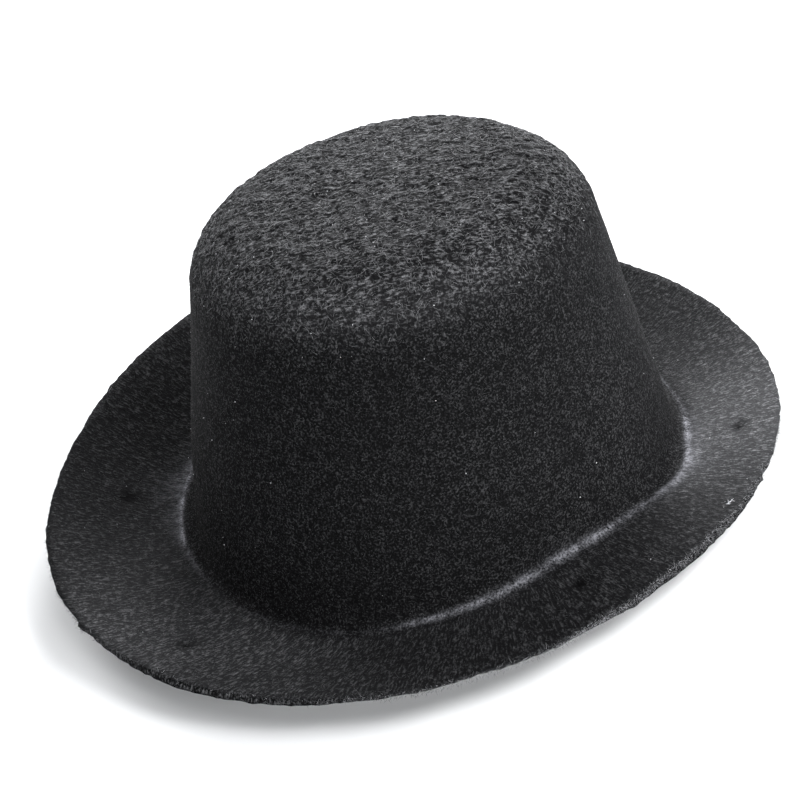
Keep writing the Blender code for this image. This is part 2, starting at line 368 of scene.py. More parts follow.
# The cut edge strays by waves (how many round the hat, phase, size), by two roughnesses, each a
# size and a push, and by nicks and tags: centre and width in degrees, and how far each stands out.
OUTLINE_WAVES = ((4, 1.18, 0.0009), (5, -1.83, 0.0012), (3, 1.04, 0.0005))
EDGE_WOBBLE_SIZE, EDGE_WOBBLE = 0.011, 0.0004
EDGE_TOOTH_SIZE, EDGE_TOOTH = 0.0022, 0.0003
EDGE_GRAIN_SIZE, EDGE_GRAIN = 0.0017, 0.00022
NICKS = ((178, 0.7, 0.0012), (299, 1.0, -0.0011), (297.6, 0.5, 0.0007), (212, 0.6, 0.0006),
         (243, 0.8, -0.0007), (71, 0.9, -0.0008), (120, 0.6, 0.0006), (20, 0.8, 0.0007))
FRAYED = (0.2, ((270, 30, 0.8),))

# Profiles round the hat, each a base and its bells. The wear is how pale the fold is, the halo how
# far that spreads outward, and the ridge is the raised line along the fold.
FOLD_WEAR = (0.06, ((306, 17, 0.85), (264, 22, 0.60), (238, 13, 0.30), (141, 18, 1.0),
                    (20, 35, 0.4), (85, 25, 0.3)))
FOLD_HALO = (0.0010, ((136, 13, 0.0042), (308, 15, 0.0034)))
RIDGE_WIDTH = (0.0008, ((262, 30, 0.0011), (305, 15, 0.0005)))
RIDGE_PLACE = (0.0003, ((300, 10, 0.0036), (150, 22, 0.0014), (264, 18, -0.0032),
                        (232, 16, -0.0020), (208, 10, -0.0012)))
HALO_INWARD = 0.0011
WEAR_PATCH_SIZE, WEAR_FLECK_SIZE = 0.007, 0.0025

# How pale the fibres are on each part, partly painted light and shade: added to round the hat, then lessened
# by shares round it.
# On the top the paleness is partly the nap's own and partly painted sheen.
TOP_PALE_AND_PAINTED_SHEEN, WALL_PALE, BRIM_PALE = 0.66, 0.145, 0.215
# The last value is how pale painted light makes the brim's end at the wearer's left and back.
CUT_PALE, INNER_PALE, PAINTED_BRIM_LIGHT_PALE = 0.5, 0.3, 0.45
# Painted light: paler on the wall toward the wearer's left and back, and on the brim's front.
PAINTED_LIGHT_ON_WALL = (0.0, ((325, 38, 0.04),))
PAINTED_LIGHT_ON_BRIM = (0.0, ((190, 24, 0.175),))
# Painted shade on the shoulder toward the wearer's left and back and on the wall's front left, and the
# crown's painted shadow on the brim's front right.
PAINTED_SHADE_ON_SHOULDER = (0.0, ((305, 60, 1.8),))
PAINTED_SHADE_ON_WALL = (0.0, ((232, 35, 0.25),))
PAINTED_SHADOW_ON_BRIM = (0.0, ((150, 35, 0.30),))
PATCH_SIZE, SMALL_PATCH_SIZE = 0.03, 0.006
# Where light is painted on the brim's end.
PAINTED_BRIM_LIGHT_PLACE = (0.0, ((314, 22, 1.0),))

# How much fluff and painted light lift the dark ground between the fibres.
# The top's lift is fluff; the lifts on the shoulder and on the brim's end are painted light.
TOP_DUST, PAINTED_SHOULDER_LIGHT, PAINTED_BRIM_LIGHT_GROUND = 0.07, 0.17, 0.62
# Even fluff on the wall and brim, with bells of painted light at the same places.
WALL_DUST_AND_PAINTED_LIGHT = (0.03, ((325, 38, 0.045),))
BRIM_DUST_AND_PAINTED_LIGHT = (0.09, ((190, 24, 0.09),))
# Height, spread and side of the painted light on the shoulder, at the front.
PAINTED_SHOULDER_HEIGHT, PAINTED_SHOULDER_SPAN = 0.90 * FELT_HIGH[2], 0.07 * FELT_HIGH[2]
PAINTED_SHOULDER_SIDE = np.radians(208)


def dimples(angle, share):
    """1 in the middle of each small pressed dimple on the brim, and 0 away from them."""
    total = 0.0
    for centre, place in DIMPLES:
        total = total + angle_hump(angle, centre, DIMPLE_DEGREES) * hump(share, place, DIMPLE_SHARE)
    return total


def outline_wander(angle):
    """How far the hand-cut edge strays off a true oval: slow cosine waves round the hat."""
    return sum(size * np.cos(count * angle + phase) for count, phase, size in OUTLINE_WAVES)


def felt_wear(smooth, past_fold, ridge, angle):
    """How worn the felt is about the fold: a bell inward, a fading halo outward, and the ridge."""
    near = profile_round(angle, *RIDGE_PLACE)
    inward = hump(past_fold, near, HALO_INWARD)
    outward = np.exp(-np.abs(past_fold - near) / profile_round(angle, *FOLD_HALO))
    spread = np.where(past_fold < near, inward, outward)
    uneven = 0.8 + 0.6 * noise(smooth * [1, 1, 0.3], WEAR_PATCH_SIZE, 32)
    uneven = uneven + 0.45 * noise(smooth, WEAR_FLECK_SIZE, 33)
    wear = np.clip(profile_round(angle, *FOLD_WEAR), 0, 1)
    return np.clip(wear * (0.6 * spread + 0.5 * ridge) * uneven, 0, 1)


def felt_skin():
    """The outer face with its relief: rows from the top's middle outward, columns round the hat.

    Beside places and normals, each point has its path from the top's middle, how far past the fold
    it is, its share of the brim, and from 0 to 1 how much of it is top, brim, dimple, ridge or worn.
    """
    angle = np.linspace(0, 2 * np.pi, COLUMNS, endpoint=False)
    shares = (np.arange(1, BRIM_ROWS + 1) / BRIM_ROWS) ** BRIM_ROW_POWER
    smooth = np.concatenate([crown_rings(angle, 0.0, OUTER_STEPS), brim_rings(angle, 0.0, shares)])
    crown_rows = len(smooth) - BRIM_ROWS
    share = np.concatenate([np.zeros(crown_rows), shares])[:, None] + 0 * angle
    out = unit(smooth[-1] * [1, 1, 0])
    smooth = smooth + (share**2 * outline_wander(angle))[..., None] * out
    step = np.linalg.norm(np.diff(smooth, axis=0), axis=2)
    path = np.concatenate([np.zeros((1, COLUMNS)), np.cumsum(step, axis=0)])
    past_fold = path - path[crown_rows - 1]
    ridge = hump(past_fold, profile_round(angle, *RIDGE_PLACE), profile_round(angle, *RIDGE_WIDTH))
    skin = {
        "angle": angle + 0 * path,
        "share": share,
        "path": path,
        "past_fold": past_fold,
        "normal": normals_round(smooth),
        "top": ease(smooth[..., 2], TOP_START, TOP_FULL),
        "brim": ease(past_fold, -0.001, 0.004),
        "dimple": dimples(angle + 0 * path, share),
        "ridge": ridge,
        "worn": felt_wear(smooth, past_fold, ridge, angle),
    }
    skin["place"] = smooth + skin["normal"] * felt_relief(smooth, skin)[..., None]
    return skin


def along_nap(points):
    """Points in axes along and across the top's nap, squeezed along it so that tufts come out long."""
    along = np.cos(NAP_TURN) * points[..., 0] + np.sin(NAP_TURN) * points[..., 1]
    across = np.cos(NAP_TURN) * points[..., 1] - np.sin(NAP_TURN) * points[..., 0]
    return np.stack([along / NAP_STRETCH, across, points[..., 2]], -1)


def felt_relief(points, skin):
    """How far the pressed felt stands proud of its smooth shape.

    Long soft dents, a crumpled top made of the folded value of a warped noise, a fine mottle all
    over, a raised line along the fold, and small pressed dimples. Little moves at the two feet.
    """
    top = skin["top"]
    warp = np.stack([noise(points, NAP_WARP_SIZE, seed) for seed in (11, 12, 13)], -1)
    bent = along_nap(points) + NAP_WARP * warp
    crumple = 0.35 - np.abs(noise(bent, CRUMPLE_SIZE, 21)) + 0.8 * noise(bent, TUFT_SIZE, 22)
    dents = layered_noise(points, DENT_SIZE, 31, 2)
    relief = (CRUMPLE + TOP_CRUMPLE * top) * crumple * (1 - skin["brim"])
    relief = relief + (MOTTLE + TOP_MOTTLE * top) * noise(points, MOTTLE_SIZE, 23)
    relief = relief + DENT * dents * (1 - 0.6 * top)
    relief = relief + RIDGE * skin["ridge"] - DIMPLE * skin["dimple"]
    foot = 1 - ease(points[..., 2], FELT + 0.0002, FELT + 0.003)
    return relief * (1 - FOOT_KEPT_FLAT * foot)


def felt_rings(skin):
    """Rings of the whole skin: the outer face, the ragged cut edge, and the inner face to its middle."""
    outer = skin["place"]
    angle = skin["angle"][0]
    shares = np.linspace(0, 1, INNER_BRIM_ROWS + 1)[1:]
    inner = np.concatenate([crown_rings(angle, FELT, INNER_STEPS), brim_rings(angle, FELT, shares)])
    between = (np.arange(1, EDGE_ROWS + 1) / (EDGE_ROWS + 1))[:, None, None]
    cut = outer[-1] * (1 - between) + inner[-1] * between
    rings = np.concatenate([outer, cut, inner[::-1]])
    at_edge = slice(len(outer) - 1, len(outer) + EDGE_ROWS + 1)
    wobble = EDGE_WOBBLE * noise(outer[-1] * [1, 1, 0], EDGE_WOBBLE_SIZE, 41)
    wobble = wobble + EDGE_TOOTH * noise(outer[-1], EDGE_TOOTH_SIZE, 42)
    push = profile_round(angle, wobble, NICKS) + EDGE_GRAIN * noise(rings[at_edge], EDGE_GRAIN_SIZE, 43)
    rings[at_edge, :, :2] += push[..., None] * unit(outer[-1, :, :2])
    rings[..., 2] = np.maximum(rings[..., 2], 0.0)
    return rings


def felt_body(skin):
    """The pressed felt as one closed skin. Its ragged edge becomes the skin's own, for fibres to root in."""
    rings = felt_rings(skin)
    skin["place"] = rings[: len(skin["place"])]
    poles = [[*crown_shift(height), height] for height in (FELT + CROWN_HEIGHT, CROWN_HEIGHT)]
    points = np.vstack([rings.reshape(-1, 3), poles])
    column = np.arange(COLUMNS)
    after = (column + 1) % COLUMNS
    last = (len(rings) - 1) * COLUMNS
    faces = grid_faces(len(rings), COLUMNS).tolist()
    faces += np.stack([0 * column + len(points) - 2, column, after], 1).tolist()
    faces += np.stack([0 * column + len(points) - 1, last + after, last + column], 1).tolist()
    piece = surface_piece("pressed_felt", points, faces, felt_material())
    mark_felt(piece, skin, len(rings) - len(skin["place"]))
    return piece


def mark_felt(piece, skin, further_rows):
    """Stores what the felt's material reads: on the outer face, on the cut edge, and inside."""
    angle = skin["angle"][0]
    frayed = profile_round(angle, *FRAYED)
    marks = {
        "brim": (skin["brim"], 1.0, 0.0),
        "cut": (ease(skin["share"], 0.97, 1.0) * frayed, frayed, 0.0),
        "nap": (skin["top"] * (1 - skin["brim"]), 0.0, 0.0),
        "worn": (skin["worn"], 0.0, 0.0),
        "pale": (felt_paleness(skin), CUT_PALE, INNER_PALE),
        "dust_and_painted_light": (felt_dust_and_painted_light(skin), 0.0, 0.0),
    }
    for name, (outside, edge, inside) in marks.items():
        at_edge = np.zeros((EDGE_ROWS, COLUMNS)) + edge
        within = np.full((further_rows - EDGE_ROWS) * COLUMNS, inside)
        poles = [outside[0, 0], inside]
        add_attribute(piece, name, np.concatenate([outside.ravel(), at_edge.ravel(), within, poles]))
    # The grain's first two numbers go round the hat slowly, and the third outward at full scale.
    spin = 0.1 * np.stack([np.cos(angle), np.sin(angle)], 1)
    further = skin["path"][-1:] + 0.001 * np.arange(1, further_rows + 1)[:, None]
    rows = np.concatenate([skin["path"], further])
    grain = np.concatenate([np.broadcast_to(spin, (*rows.shape, 2)), rows[..., None]], 2)
    add_attribute(piece, "grain", np.vstack([grain.reshape(-1, 3), np.zeros((2, 3))]))


def painted_brim_light(skin):
    """Painted light on the brim's lit end, at the wearer's left and back."""
    return profile_round(skin["angle"], *PAINTED_BRIM_LIGHT_PLACE) * ease(skin["past_fold"], 0.0, 0.008)


def felt_dust_and_painted_light(skin):
    """How far fine fluff and painted light lift the dark ground between the fibres: painted light on the
    brim's end and the shoulder, fluff on the top, wall and brim with bells of painted light, and painted
    shade in the dimples, where it is taken away.
    """
    angle = skin["angle"]
    top = skin["top"] * (1 - skin["brim"])
    wall = (1 - skin["top"]) * (1 - skin["brim"])
    # Painted light on the front of the shoulder.
    shoulder = hump(skin["place"][..., 2], PAINTED_SHOULDER_HEIGHT, PAINTED_SHOULDER_SPAN)
    side = np.clip(np.cos(angle - PAINTED_SHOULDER_SIDE), 0, 1)
    dust_and_painted_light = PAINTED_BRIM_LIGHT_GROUND * painted_brim_light(skin) + PAINTED_SHOULDER_LIGHT * shoulder * side * top + TOP_DUST * top
    # The bells in the wall's and brim's lift are painted light.
    dust_and_painted_light = dust_and_painted_light + profile_round(angle, *WALL_DUST_AND_PAINTED_LIGHT) * wall
    dust_and_painted_light = dust_and_painted_light + profile_round(angle, *BRIM_DUST_AND_PAINTED_LIGHT) * skin["brim"]
    # Painted shade: the dimples' dents keep the dark ground.
    return dust_and_painted_light * (1 - np.clip(skin["dimple"], 0, 1))


def felt_paleness(skin):
    """How pale the felt's surface fibres are: most on the top, partly as painted sheen, least on the walls,
    in soft patches, with painted light and shade round the hat and painted shade in the dimples.
    """
    angle = skin["angle"]
    top = skin["top"]
    brim = skin["brim"]
    wall = (1 - top) * (1 - brim)
    # The top's extra paleness is partly painted sheen.
    pale = WALL_PALE + (TOP_PALE_AND_PAINTED_SHEEN - WALL_PALE) * top + (BRIM_PALE - WALL_PALE) * brim
    # Painted light on the brim's end.
    pale = pale + PAINTED_BRIM_LIGHT_PALE * painted_brim_light(skin)
    # Painted light on the wall and brim in bells round the hat.
    pale = pale + profile_round(angle, *PAINTED_LIGHT_ON_WALL) * wall + profile_round(angle, *PAINTED_LIGHT_ON_BRIM) * brim
    # Painted shade on the shoulder and wall, and the crown's painted shadow on the brim.
    pale = pale * (1 - profile_round(angle, *PAINTED_SHADE_ON_SHOULDER) * top * wall)
    pale = pale * (1 - profile_round(angle, *PAINTED_SHADE_ON_WALL) * wall)
    pale = pale * (1 - profile_round(angle, *PAINTED_SHADOW_ON_BRIM) * brim)
    patches = 1 + 0.25 * layered_noise(skin["place"], PATCH_SIZE, 51, 3)
    patches = patches + 0.15 * noise(skin["place"], SMALL_PATCH_SIZE, 52)
    # Painted shade: the dimples' dents stay dark.
    return np.clip(pale * patches, 0, 1) * (1 - np.clip(skin["dimple"], 0, 1))


# ---------------------------------------------------------------- loose fibres and lint


HAIR_SIDES = 3
HAIR_TAPER = 0.6
ROOT_DEPTH = 0.00005
EDGE_HAIR_RADIUS = 0.00004
PALE_EDGE = (0.03, ((272, 28, 1.0),))
WISP_SPREAD = (0.0012, 0.0004, 0.0)
WISP_HAIR_RADIUS = 0.00012
LEAST_GRAIN, GREATEST_GRAIN = 0.00008, 0.00028


def random_roots(skin, count, weight, rng):
    """Points spread over the outer face by area times weight, with their normals and outward tangents."""
    place = skin["place"]
    down = place[1:] - place[:-1]
    across = np.roll(place, -1, axis=1)[:-1] - place[:-1]
    area = np.linalg.norm(np.cross(down, across), axis=2) * weight[:-1]
    chosen = rng.choice(area.size, count, p=(area / area.sum()).ravel())
    row, column = np.unravel_index(chosen, area.shape)
    shift = rng.random((2, count, 1))
    roots = place[row, column] + shift[0] * down[row, column] + shift[1] * across[row, column]
    return roots, skin["normal"][row, column], unit(down[row, column])


def fibres(name, roots, heading, bend, length, radius, tone):
    """Thin three-sided hairs that taper to a point.

    A hair's line is root + length * (s * heading + s squared * bend), for s from 0 to 1.
    """
    stations = np.array([0.0, 0.45, 0.8])
    count = len(roots)
    rings = len(stations)
    s = np.append(stations, 1.0)[None, :, None]
    line = roots[:, None] + length[:, None, None] * (s * heading[:, None] + s**2 * bend[:, None])
    side = unit(np.cross(heading, bend))
    other = unit(np.cross(unit(heading), side))
    corner = np.arange(HAIR_SIDES)
    after = (corner + 1) % HAIR_SIDES
    turn = 2 * np.pi * corner / HAIR_SIDES
    circle = side[:, None] * np.cos(turn)[None, :, None] + other[:, None] * np.sin(turn)[None, :, None]
    taper = radius * (1 - HAIR_TAPER * stations)
    tube = line[:, :-1, None] + circle[:, None] * taper[None, :, None, None]
    points = np.concatenate([tube.reshape(count, -1, 3), line[:, -1:]], axis=1)
    start = (len(points[0]) * np.arange(count))[:, None, None]
    low = HAIR_SIDES * np.arange(rings - 1)[:, None]
    high = low + HAIR_SIDES
    quads = np.stack([low + corner, low + after, high + after, high + corner], -1).reshape(-1, 4) + start
    last = HAIR_SIDES * (rings - 1)
    tip = np.stack([last + corner, last + after, 0 * corner + last + HAIR_SIDES], 1)
    triangles = np.concatenate([[[0, 2, 1]], tip]) + start
    faces = quads.reshape(-1, 4).tolist() + triangles.reshape(-1, 3).tolist()
    return surface_piece(name, points.reshape(-1, 3), faces, fibre_material(name, tone))


def felt_fuzz(skin, name, count, weight, longest, radius, lift, tone, seed, comb=0.0):
    """Loose fibres over one part of the felt, combed outward by a share and lifted by about that angle."""
    rng = np.random.default_rng(seed)
    roots, normal, lay = random_roots(skin, count, weight, rng)
    loose = unit(rng.normal(size=(count, 3)))
    sideways = loose - normal * np.sum(loose * normal, axis=1, keepdims=True)
    flat = unit(sideways + comb * lay * rng.choice([-1, 1], (count, 1)))
    rise = np.radians(lift) * rng.uniform(0.2, 1.6, (count, 1))
    heading = flat * np.cos(rise) + normal * np.sin(rise)
    bend = 0.45 * unit(rng.normal(size=(count, 3))) - 0.15 * normal
    length = longest * rng.uniform(0.35, 1.0, count)
    return fibres(name, roots - ROOT_DEPTH * normal, heading, bend, length, radius, tone)


def edge_fuzz(skin, name, count, weight, longest, tone, seed):
    """Short fibres that stand out of the brim's cut edge, thicker where the weight is greater."""
    rng = np.random.default_rng(seed)
    edge = skin["place"][-1]
    weight = weight * np.ones(COLUMNS)
    column = rng.choice(COLUMNS, count, p=weight / weight.sum())
    along = np.roll(edge, -1, axis=0) - edge
    roots = edge[column] + rng.random((count, 1)) * along[column]
    out = unit(edge[column] * [1, 1, 0])
    roots = roots - out * 0.0002 - np.array([0, 0, 1]) * FELT * rng.uniform(0.0, 0.9, (count, 1))
    heading = unit(out * rng.uniform(0.3, 1.0, (count, 1)) + 0.8 * rng.normal(size=(count, 3)))
    bend = 0.5 * unit(rng.normal(size=(count, 3)))
    length = longest * rng.uniform(0.3, 1.0, count)
    roots[:, 2] = np.maximum(roots[:, 2], 0.0004)
    return fibres(name, roots, heading, bend, length, EDGE_HAIR_RADIUS, tone)


def lint_tuft(skin, degrees, share, count, tone, seed):
    """A wisp of pale lint caught on the brim: a few short curved fibres about one place."""
    rng = np.random.default_rng(seed)
    column = int(degrees / 360 * COLUMNS)
    row = np.argmin(np.abs(skin["share"][:, column] - share))
    normal = np.tile(skin["normal"][row, column], (count, 1))
    roots = skin["place"][row, column] + rng.normal(size=(count, 3)) * WISP_SPREAD + 0.0002 * normal
    heading = unit(rng.normal(size=(count, 3)) * [1, 1, 0.3] + 0.3 * normal)
    bend = 0.9 * unit(rng.normal(size=(count, 3)))
    length = rng.uniform(0.0004, 0.0013, count)
    return fibres("lint_tuft", roots, heading, bend, length, WISP_HAIR_RADIUS, tone)


def lint_grains(skin, count, tone, seed):
    """Tiny pale grains of lint that cling to the felt, each an eight-sided lump."""
    rng = np.random.default_rng(seed)
    roots, normal, _ = random_roots(skin, count, 0.3 + skin["top"], rng)
    shape = np.array([[1, 0, 0], [0, 1, 0], [-1, 0, 0], [0, -1, 0], [0, 0, 1], [0, 0, -1]], float)
    size = rng.uniform(LEAST_GRAIN, GREATEST_GRAIN, (count, 1, 1)) * rng.uniform(0.6, 1.4, (count, 6, 1))
    points = (roots + 0.0001 * normal)[:, None] + shape[None] * size
    one = [[i, (i + 1) % 4, 4] for i in range(4)] + [[(i + 1) % 4, i, 5] for i in range(4)]
    faces = (np.array(one)[None] + 6 * np.arange(count)[:, None, None]).reshape(-1, 3).tolist()
    return surface_piece("lint_grains", points.reshape(-1, 3), faces, fibre_material("pale_lint", tone))


# ---------------------------------------------------------------- inside the crown


# Heights are above the floor, and near and far are depths in from the felt's outer face.
BAND_BOTTOM, BAND_TOP = 0.008, 0.036
BAND_NEAR, BAND_FAR = FELT + GAP, FELT + GAP + 0.0012
BAND_RIBS = 480
BAND_RIB_STEPS = 4
BAND_RIB_DEPTH = 0.00012
BAND_JOINT = 0.0015
BAND_SAG = 0.0004
BAND_ROWS = (0, 0.012, 0.04, 0.07, 0.1, 0.3, 0.5, 0.7, 0.9, 0.93, 0.96, 0.988, 1)
STITCH_HEIGHT, STITCH_COUNT, STITCH_RADIUS = 0.011, 160, 0.0003
STITCH_ARCH, STITCH_SLANT, STITCH_SIDES = 0.0005, 0.0005, 6
STITCH_SHARE, STITCH_STRAY = 0.68, 0.00012
STITCH_TO_TAB = 0.0012
TAB_HALF_WIDTH, TAB_HALF_HEIGHT = 0.007, 0.013
TAB_NEAR, TAB_FAR = BAND_FAR + GAP, BAND_FAR + GAP + 0.0008
TAB_WEAVE_ALONG, TAB_WEAVE_UP, TAB_WEAVE_DEPTH = 14, 26, 0.00008
BOW_NEAR = TAB_FAR + GAP
BOW_START, BOW_REACH, BOW_MIDDLE = 0.0015, 0.017, 0.022
BOW_NARROW, BOW_WIDER = 0.004, 0.007
BOW_HALF_THICK = 0.00011
BOW_DEPTH, BOW_SWING = 0.0013, 0.0023
BOW_DROOP, BOW_ROUNDING = 0.0007, 0.035
PLEAT_DEPTH, PLEAT_TURNS = 0.00028, 3.5
KNOT_HALF_WIDTH, KNOT_HALF_HEIGHT, KNOT_THICK = 0.003, 0.0031, 0.0030


def back_angle(distance):
    """The angle round the hat that a distance along the back of the sweatband spans."""
    return distance / FOLD_HALF[1]


def sweatband_ribbon():
    """A ribbed ribbon sewn round the inside of the crown, its two ends a hair apart at the back.

    Its inner face is waved in and out by the cosine of the way round times the number of ribs.
    The ribs fade at the two woven edges, which are rounded, and the upper edge wanders a little.
    """
    start = back_angle(0.5 * BAND_JOINT)
    way = np.linspace(0, 1, BAND_RIB_STEPS * BAND_RIBS + 1)
    angle = start + (2 * np.pi - 2 * start) * way
    up = np.array(BAND_ROWS)[:, None]
    ribbed = ease(up, 0.05, 0.1) * ease(1 - up, 0.05, 0.1)
    rounded = 1 - ease(up, 0, 0.02) * ease(1 - up, 0, 0.02)
    sag = BAND_SAG * up * (np.sin(3 * angle + 1) + 0.5 * np.sin(7 * angle))
    height = BAND_BOTTOM + (BAND_TOP - BAND_BOTTOM) * up + sag
    rib = BAND_RIB_DEPTH * np.cos(2 * np.pi * BAND_RIBS * way) - 0.00015
    far = wall_place(angle, height, BAND_FAR + ribbed * rib - 0.0003 * rounded)
    near = wall_place(angle, height, BAND_NEAR + 0.0003 * rounded + 0 * angle)
    return closed_sheet("ribbed_sweatband", near, far, ribbon_material("ribbed_tape", BAND_RIBS, 36))


def row_of_stitches():
    """Short stitches in a row near the sweatband's lower edge, each a thin six-sided thread.

    A stitch's middle line dives into the ribbon at both ends: its height off the ribbon is
    its arch times 1 - (2s - 1) to the fourth, for s from 0 to 1, and it slants a little upward.
    """
    rng = np.random.default_rng(71)
    s = np.array([0.0, 0.12, 0.5, 0.88, 1.0])
    fullness = np.array([0.75, 1, 0.92, 1, 0.75])[:, None]
    start = back_angle(TAB_HALF_WIDTH + STITCH_TO_TAB)
    pitch = (2 * np.pi - 2 * start) / STITCH_COUNT
    each = np.arange(STITCH_COUNT)[:, None]
    angle = start + pitch * (each + 0.15 + STITCH_SHARE * s + 0.03 * rng.normal(size=each.shape))
    height = STITCH_HEIGHT + STITCH_SLANT * (s - 0.5) + STITCH_STRAY * rng.normal(size=each.shape)
    depth = BAND_FAR + STITCH_ARCH * (1 - (2 * s - 1) ** 4) - 0.0002 + 0 * angle
    turn = 2 * np.pi * np.arange(STITCH_SIDES) / STITCH_SIDES
    around = STITCH_RADIUS * fullness * np.cos(turn)
    out = STITCH_RADIUS * fullness * np.sin(turn)
    points = wall_place(angle[..., None], height[..., None] + around, depth[..., None] + out)
    first = (len(s) * STITCH_SIDES) * each[:, :, None]
    tube = grid_faces(len(s), STITCH_SIDES)[None] + first
    end = np.arange(STITCH_SIDES)
    caps = np.array([end[::-1], (len(s) - 1) * STITCH_SIDES + end])[None] + first
    faces = tube.reshape(-1, 4).tolist() + caps.reshape(-1, STITCH_SIDES).tolist()
    return face_outward(surface_piece("sweatband_stitches", points.reshape(-1, 3), faces, thread_material()))


def woven_tab():
    """The tape over the sweatband's joint: a basket weave, the product of two sines, inside a hem.

    The hem is a smooth band along all four edges, rounded off at the rim.
    """
    along = np.linspace(-1, 1, 85)
    up = np.linspace(-1, 1, 157)[:, None]
    angle = back_angle(TAB_HALF_WIDTH) * along
    height = BOW_MIDDLE + TAB_HALF_HEIGHT * up
    rim = np.maximum(np.abs(along) + 0 * up, 1 - (1 - np.abs(up)) * TAB_HALF_HEIGHT / TAB_HALF_WIDTH)
    hem = ease(rim, 0.8, 0.86)
    rolled = ease(rim, 0.93, 1.0)
    weave = np.sin(np.pi * TAB_WEAVE_ALONG * along) * np.sin(np.pi * TAB_WEAVE_UP * up)
    depth = TAB_FAR - 0.0001 + TAB_WEAVE_DEPTH * weave * (1 - hem) + 0.0001 * hem - 0.0004 * rolled
    far = wall_place(angle, height, depth)
    near = wall_place(angle, height, TAB_NEAR + 0.0002 * rolled)
    material = ribbon_material("tab_tape", 2 * TAB_WEAVE_ALONG, 2 * TAB_WEAVE_UP)
    return closed_sheet("woven_tab", near, far, material)


def bow_loop(name, side):
    """One loop of the bow: a ribbon that leaves the knot, turns at its far end and comes back.

    For t from 0 to 1 its reach is the loop's length times sin(pi t), and its depth swings by
    -cos(pi t) sin(pi t), a teardrop. It widens by the 0.7th power of the reach, and its pleats,
    a cosine across its width, fade away from the knot.
    """
    t = np.linspace(0, 1, 49)
    across = np.linspace(-1, 1, 17)[:, None]
    reach = np.sin(np.pi * t)
    half_width = 0.5 * (BOW_NARROW + BOW_WIDER * reach**0.7)
    height = BOW_MIDDLE + half_width * across - BOW_DROOP * reach**2
    length = (BOW_REACH - BOW_START) * (reach - BOW_ROUNDING * reach**4 * (1 - across**2))
    angle = side * back_angle(BOW_START + length)
    depth = BOW_NEAR + BOW_DEPTH - BOW_SWING * np.cos(np.pi * t) * reach
    depth = depth + PLEAT_DEPTH * np.cos(PLEAT_TURNS * np.pi * across) * (1 - reach) ** 1.5
    middle = wall_place(angle, height, depth)
    lift = BOW_HALF_THICK * normals_open(middle)
    return closed_sheet(name, middle + lift, middle - lift, ribbon_material(name, 90, 44))


def bow_knot():
    """The wrap round the bow's middle: a rounded oval barrel with fine pleats round it.

    Its section is an oval to the power 0.7, and it narrows by 1 - v to the fourth to its ends.
    """
    turn = np.linspace(0, 2 * np.pi, 40, endpoint=False)
    v = np.linspace(-1, 1, 25)[:, None]
    full = np.abs(np.stack([np.cos(turn), np.sin(turn)])) ** 0.7 * np.sign([np.cos(turn), np.sin(turn)])
    narrow = (1 - 0.55 * v**4) * (1 + 0.05 * np.cos(7 * np.pi * v))
    angle = back_angle(KNOT_HALF_WIDTH * narrow * full[0] * (1 - 0.12 * (1 - v**2)))
    depth = BOW_NEAR + 0.5 * KNOT_THICK * (1 + narrow * full[1])
    points = wall_place(angle, BOW_MIDDLE + KNOT_HALF_HEIGHT * v + 0 * angle, depth)
    last = (len(v) - 1) * len(turn)
    ends = [np.arange(len(turn))[::-1].tolist(), (last + np.arange(len(turn))).tolist()]
    faces = grid_faces(*points.shape[:2]).tolist() + ends
    piece = surface_piece("bow_knot", points.reshape(-1, 3), faces, ribbon_material("knot", 30, 24))
    flat = np.stack(np.broadcast_arrays(turn / (2 * np.pi), 0.5 + 0.5 * v, 0 * v), -1)
    add_attribute(piece, "weave", flat.reshape(-1, 3))
    return face_outward(piece)


# ---------------------------------------------------------------- material nodes


def new_material(name, roughness, specular):
    """A new material, its node tree and its shader, at a roughness and a specular level."""
    material = bpy.data.materials.new(name)
    material.use_nodes = True
    shader = material.node_tree.nodes["Principled BSDF"]
    shader.inputs["Roughness"].default_value = roughness
    shader.inputs["Specular IOR Level"].default_value = specular
    return material, material.node_tree, shader


def grey(tone, blue=1.0):
    """An opaque grey, with its blue a little stronger."""
    return (tone, tone, blue * tone, 1)


def feed(tree, socket, source):
    """Gives a socket a number or a colour, or joins another node's output to it."""
    if isinstance(source, (tuple, float, int)):
        socket.default_value = source
    else:
        tree.links.new(source, socket)


def piece_place(tree):
    """Each point's place on the piece."""
    return tree.nodes.new("ShaderNodeTexCoord").outputs["Object"]


def attribute(tree, name, output="Fac"):
    """What the mesh has stored under a name."""
    node = tree.nodes.new("ShaderNodeAttribute")
    node.attribute_name = name
    return node.outputs[output]


def speckle(tree, source, scale, detail=2, rough=0.5, stretch=(1, 1, 1), turn=0.0):
    """Noise whose grains are stretched along the axes, after those are turned about Z."""
    mapping = tree.nodes.new("ShaderNodeMapping")
    mapping.vector_type = "TEXTURE"
    mapping.inputs["Rotation"].default_value = (0, 0, turn)
    mapping.inputs["Scale"].default_value = stretch
    tree.links.new(source, mapping.inputs["Vector"])
    node = tree.nodes.new("ShaderNodeTexNoise")
    node.inputs["Scale"].default_value = scale
    node.inputs["Detail"].default_value = detail
    node.inputs["Roughness"].default_value = rough
    tree.links.new(mapping.outputs["Vector"], node.inputs["Vector"])
    return node.outputs["Fac"]


def ramp(tree, source, low, high):
    """0 below low and 1 above high, and even between."""
    node = tree.nodes.new("ShaderNodeMapRange")
    node.inputs["From Min"].default_value = low
    node.inputs["From Max"].default_value = high
    tree.links.new(source, node.inputs["Value"])
    return node.outputs["Result"]


